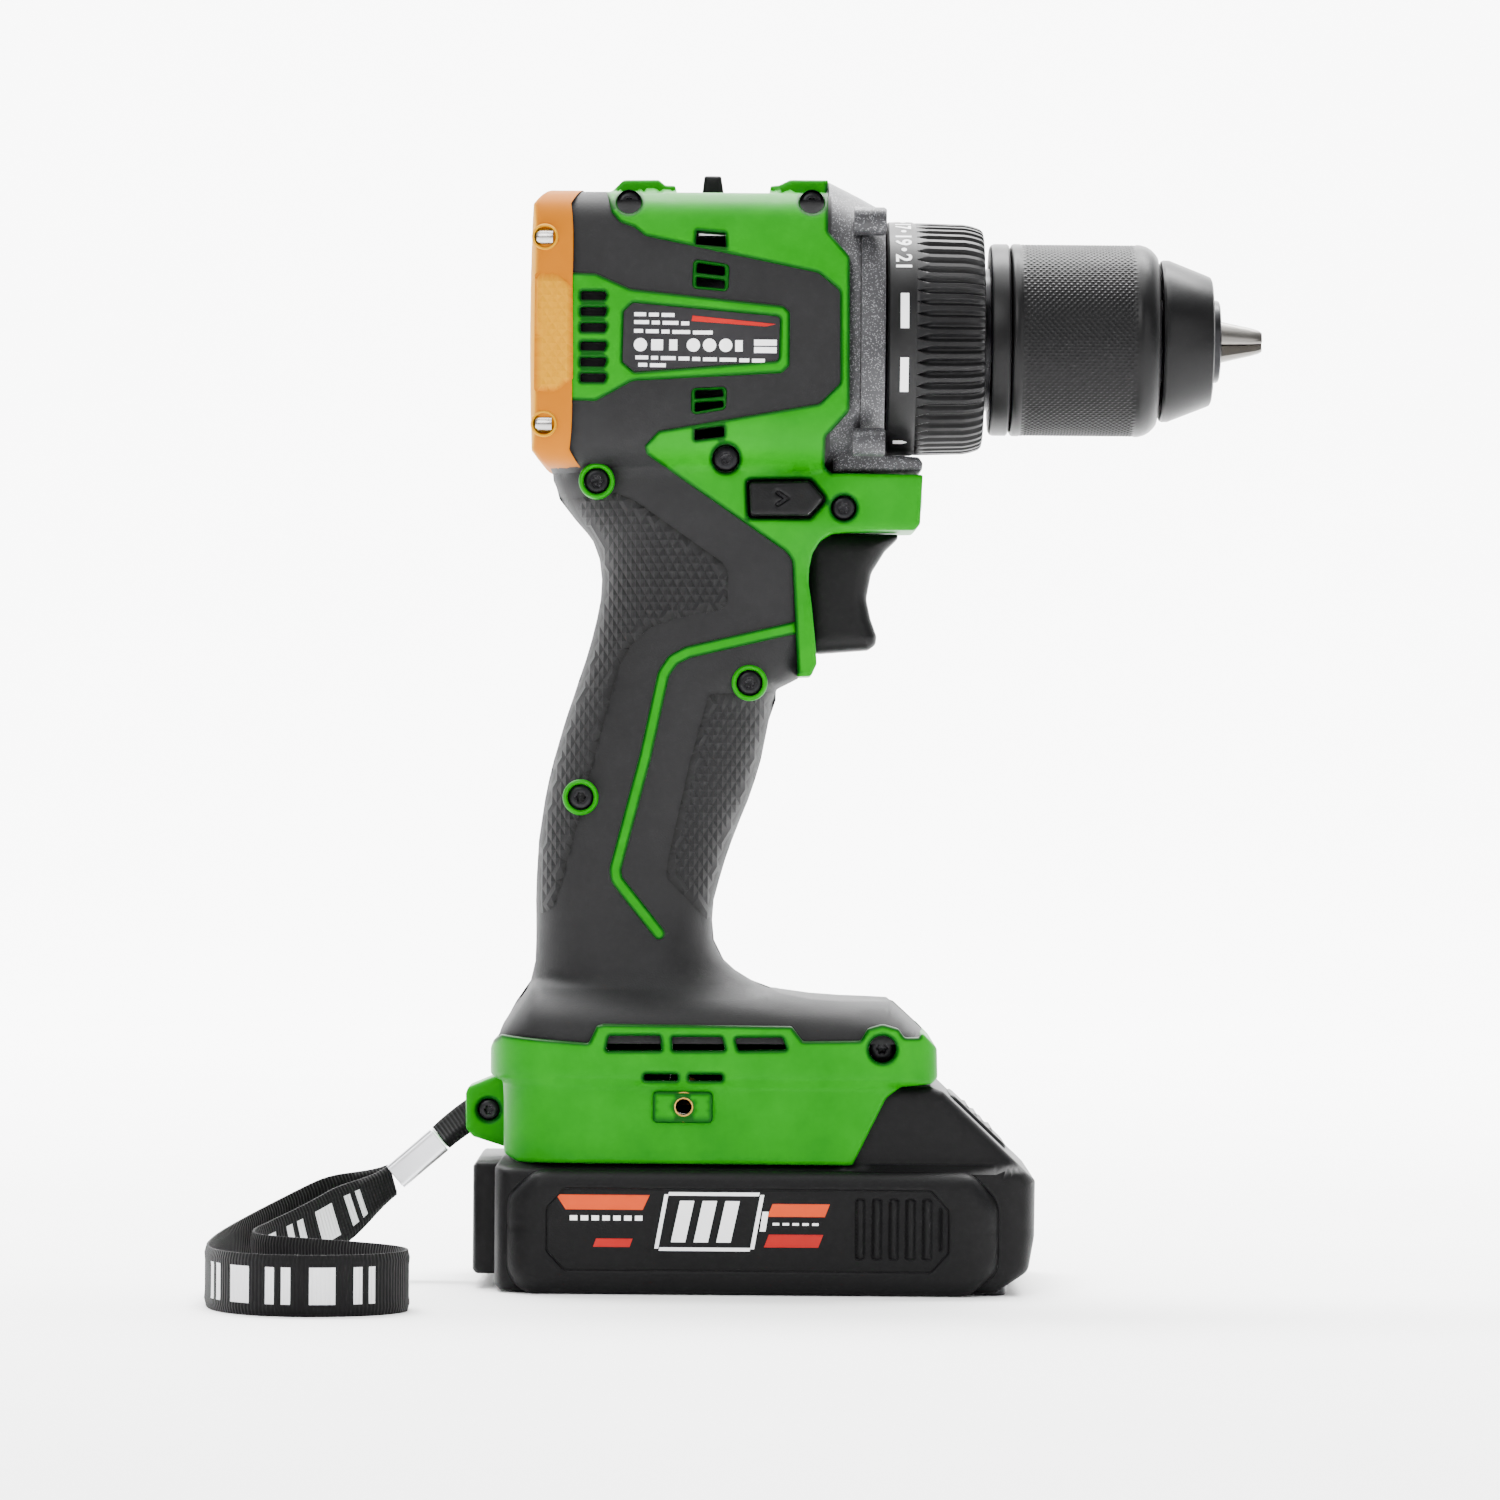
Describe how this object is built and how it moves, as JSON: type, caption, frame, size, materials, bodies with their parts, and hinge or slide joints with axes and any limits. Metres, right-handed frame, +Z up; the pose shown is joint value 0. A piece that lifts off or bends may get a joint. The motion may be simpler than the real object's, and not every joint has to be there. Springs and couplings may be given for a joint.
{
  "type": "cordless drill",
  "caption": "Pistol-grip cordless drill with a keyless chuck, ribbed torque collar, trigger, direction and speed controls, slide-off battery and wrist strap.",
  "frame": {"origin": "centre of the battery's underside, which the drill stands on", "axes": "+X towards the chuck's nose, +Z up, -Y to the drill's right-hand side"},
  "size_m": [0.2148, 0.1294, 0.2297],
  "materials": {
    "green_plastic": "moulded, satin",
    "grip_rubber": "soft-touch, matt",
    "orange_plastic": "satin",
    "screw_steel": "blackened",
    "gear_metal": "speckled grey",
    "motor_iron": "laminated",
    "copper_wire": "enamelled",
    "steel": "ground",
    "black_plastic": "fine-textured",
    "collar_plastic": "satin",
    "chuck_plastic": "satin",
    "jaw_steel": "hardened",
    "board_green": "lacquered",
    "lens_clear": "clear",
    "plate_label": "printed",
    "brass": "turned",
    "strap_webbing": "ribbed weave",
    "ferrule_chrome": "polished",
    "battery_plastic": "fine-textured",
    "cell_wrap": "shrink-wrapped"
  },
  "bodies": {
    "drill": {"housing_right": "green_plastic", "housing_left": "green_plastic", "grip_cover_right": "grip_rubber", "grip_cover_left": "grip_rubber", "rear_cap": "orange_plastic", "rear_cap_screws": "screw_steel", "housing_screws": "screw_steel", "gear_housing": "gear_metal", "gear_housing_screws": "steel", "motor_stator": "motor_iron", "motor_windings": "copper_wire", "motor_bearings": "steel", "motor_end_plate": "gear_metal", "ring_gear": "steel", "spindle_bearing": "steel", "switch_module": "black_plastic", "terminal_block": "black_plastic", "control_board": "board_green", "work_light": "lens_clear", "belt_clip_inserts": "brass", "side_plates": "plate_label", "clutch_spring": "steel", "trigger_spring": "steel", "wrist_strap": "strap_webbing", "strap_tether": "strap_webbing", "strap_ferrule": "ferrule_chrome"},
    "rotor": {"rotor_core": "motor_iron", "rotor_shaft": "steel", "cooling_fan": "black_plastic", "sun_gear_first": "steel"},
    "first_carrier": {"carrier_first": "steel"},
    "spindle": {"output_carrier": "steel", "output_spindle": "steel", "chuck_body": "steel", "chuck_screw": "screw_steel", "chuck_rear_ring": "chuck_plastic", "chuck_nose": "chuck_plastic"},
    "chuck_grip": {"chuck_sleeve": "chuck_plastic", "chuck_nut": "steel"},
    "collar": {"torque_collar": "collar_plastic"},
    "pressure_nut": {"clutch_nut": "black_plastic"},
    "trigger": {"trigger": "black_plastic"},
    "direction": {"direction_lever": "black_plastic"},
    "selector": {"speed_selector": "black_plastic"},
    "shifter": {"shift_ring": "steel"},
    "battery": {"battery_case_lower": "battery_plastic", "battery_case_upper": "battery_plastic", "battery_cells": "cell_wrap", "battery_board": "board_green", "battery_screws": "screw_steel"},
    "latch": {"battery_latch": "battery_plastic"},
    "planet_first_1": {"planet_first_1": "steel"},
    "planet_second_1": {"planet_second_1": "steel"},
    "jaw_1": {"jaw_1": "jaw_steel"},
    "planet_first_2": {"planet_first_2": "steel"},
    "planet_second_2": {"planet_second_2": "steel"},
    "jaw_2": {"jaw_2": "jaw_steel"},
    "planet_first_3": {"planet_first_3": "steel"},
    "planet_second_3": {"planet_second_3": "steel"},
    "jaw_3": {"jaw_3": "jaw_steel"}
  },
  "joints": [
    {"name": "spindle_spin", "type": "hinge", "parent": "drill", "child": "spindle", "pos_m": [0, 0, 0.1964], "axis": [1, 0, 0], "continuous": true},
    {"name": "rotor_spin", "type": "hinge", "parent": "drill", "child": "rotor", "pos_m": [0, 0, 0.1964], "axis": [1, 0, 0], "continuous": true},
    {"name": "first_carrier_spin", "type": "hinge", "parent": "drill", "child": "first_carrier", "pos_m": [0, 0, 0.1964], "axis": [1, 0, 0], "continuous": true},
    {"name": "planet_first_1_spin", "type": "hinge", "parent": "first_carrier", "child": "planet_first_1", "pos_m": [0.00975, 0, 0.1859], "axis": [1, 0, 0], "continuous": true},
    {"name": "planet_first_2_spin", "type": "hinge", "parent": "first_carrier", "child": "planet_first_2", "pos_m": [0.00975, 0.00909, 0.20165], "axis": [1, 0, 0], "continuous": true},
    {"name": "planet_first_3_spin", "type": "hinge", "parent": "first_carrier", "child": "planet_first_3", "pos_m": [0.00975, -0.00909, 0.20165], "axis": [1, 0, 0], "continuous": true},
    {"name": "planet_second_1_spin", "type": "hinge", "parent": "spindle", "child": "planet_second_1", "pos_m": [0.0201, 0, 0.18485], "axis": [1, 0, 0], "continuous": true},
    {"name": "planet_second_2_spin", "type": "hinge", "parent": "spindle", "child": "planet_second_2", "pos_m": [0.0201, 0.01, 0.20217], "axis": [1, 0, 0], "continuous": true},
    {"name": "planet_second_3_spin", "type": "hinge", "parent": "spindle", "child": "planet_second_3", "pos_m": [0.0201, -0.01, 0.20217], "axis": [1, 0, 0], "continuous": true},
    {"name": "chuck_sleeve_turn", "type": "hinge", "parent": "spindle", "child": "chuck_grip", "pos_m": [0, 0, 0.1964], "axis": [1, 0, 0], "range_deg": [0, 4320]},
    {"name": "jaw_1_slide", "type": "slide", "parent": "spindle", "child": "jaw_1", "axis": [-0.9703, -0.2095, 0.121], "range_m": [0, 0.02072]},
    {"name": "jaw_2_slide", "type": "slide", "parent": "spindle", "child": "jaw_2", "axis": [-0.9703, 0, -0.2419], "range_m": [0, 0.02072]},
    {"name": "jaw_3_slide", "type": "slide", "parent": "spindle", "child": "jaw_3", "axis": [-0.9703, 0.2095, 0.121], "range_m": [0, 0.02072]},
    {"name": "torque_collar_turn", "type": "hinge", "parent": "drill", "child": "collar", "pos_m": [0, 0, 0.1964], "axis": [1, 0, 0], "range_deg": [-150, 135]},
    {"name": "clutch_nut_slide", "type": "slide", "parent": "drill", "child": "pressure_nut", "axis": [1, 0, 0], "range_m": [-0.0027, 0.0025], "deforming": ["clutch_spring"]},
    {"name": "trigger_pull", "type": "slide", "parent": "drill", "child": "trigger", "axis": [-1, 0, 0], "range_m": [0, 0.0055], "stiffness_N_per_m": 400, "springref_m": -0.002, "deforming": ["trigger_spring"]},
    {"name": "direction_shift", "type": "slide", "parent": "drill", "child": "direction", "axis": [0, 1, 0], "range_m": [-0.003, 0.003]},
    {"name": "speed_shift", "type": "slide", "parent": "drill", "child": "selector", "axis": [1, 0, 0], "range_m": [0, 0.0055]},
    {"name": "shift_ring_slide", "type": "slide", "parent": "drill", "child": "shifter", "axis": [1, 0, 0], "range_m": [0, 0.0055]},
    {"name": "battery_release", "type": "slide", "parent": "drill", "child": "battery", "axis": [1, 0, 0], "range_m": [0, 0.115]},
    {"name": "latch_press", "type": "slide", "parent": "battery", "child": "latch", "axis": [-0.7071, 0, -0.7071], "range_m": [0, 0.0028], "stiffness_N_per_m": 500, "springref_m": -0.001}
  ],
  "couplings": [
    {"joint": "rotor_spin", "follows": "spindle_spin", "ratio": 18.333},
    {"joint": "first_carrier_spin", "follows": "spindle_spin", "ratio": 3.6667},
    {"joint": "planet_first_1_spin", "follows": "spindle_spin", "ratio": -9.7778},
    {"joint": "planet_first_2_spin", "follows": "spindle_spin", "ratio": -9.7778},
    {"joint": "planet_first_3_spin", "follows": "spindle_spin", "ratio": -9.7778},
    {"joint": "planet_second_1_spin", "follows": "spindle_spin", "ratio": -3.2},
    {"joint": "planet_second_2_spin", "follows": "spindle_spin", "ratio": -3.2},
    {"joint": "planet_second_3_spin", "follows": "spindle_spin", "ratio": -3.2},
    {"joint": "jaw_1_slide", "follows": "chuck_sleeve_turn", "m_per_rad": 0.00027412},
    {"joint": "jaw_2_slide", "follows": "chuck_sleeve_turn", "m_per_rad": 0.00027412},
    {"joint": "jaw_3_slide", "follows": "chuck_sleeve_turn", "m_per_rad": 0.00027412},
    {"joint": "clutch_nut_slide", "follows": "torque_collar_turn", "m_per_rad": 0.001},
    {"joint": "shift_ring_slide", "follows": "speed_shift", "ratio": 1}
  ]
}
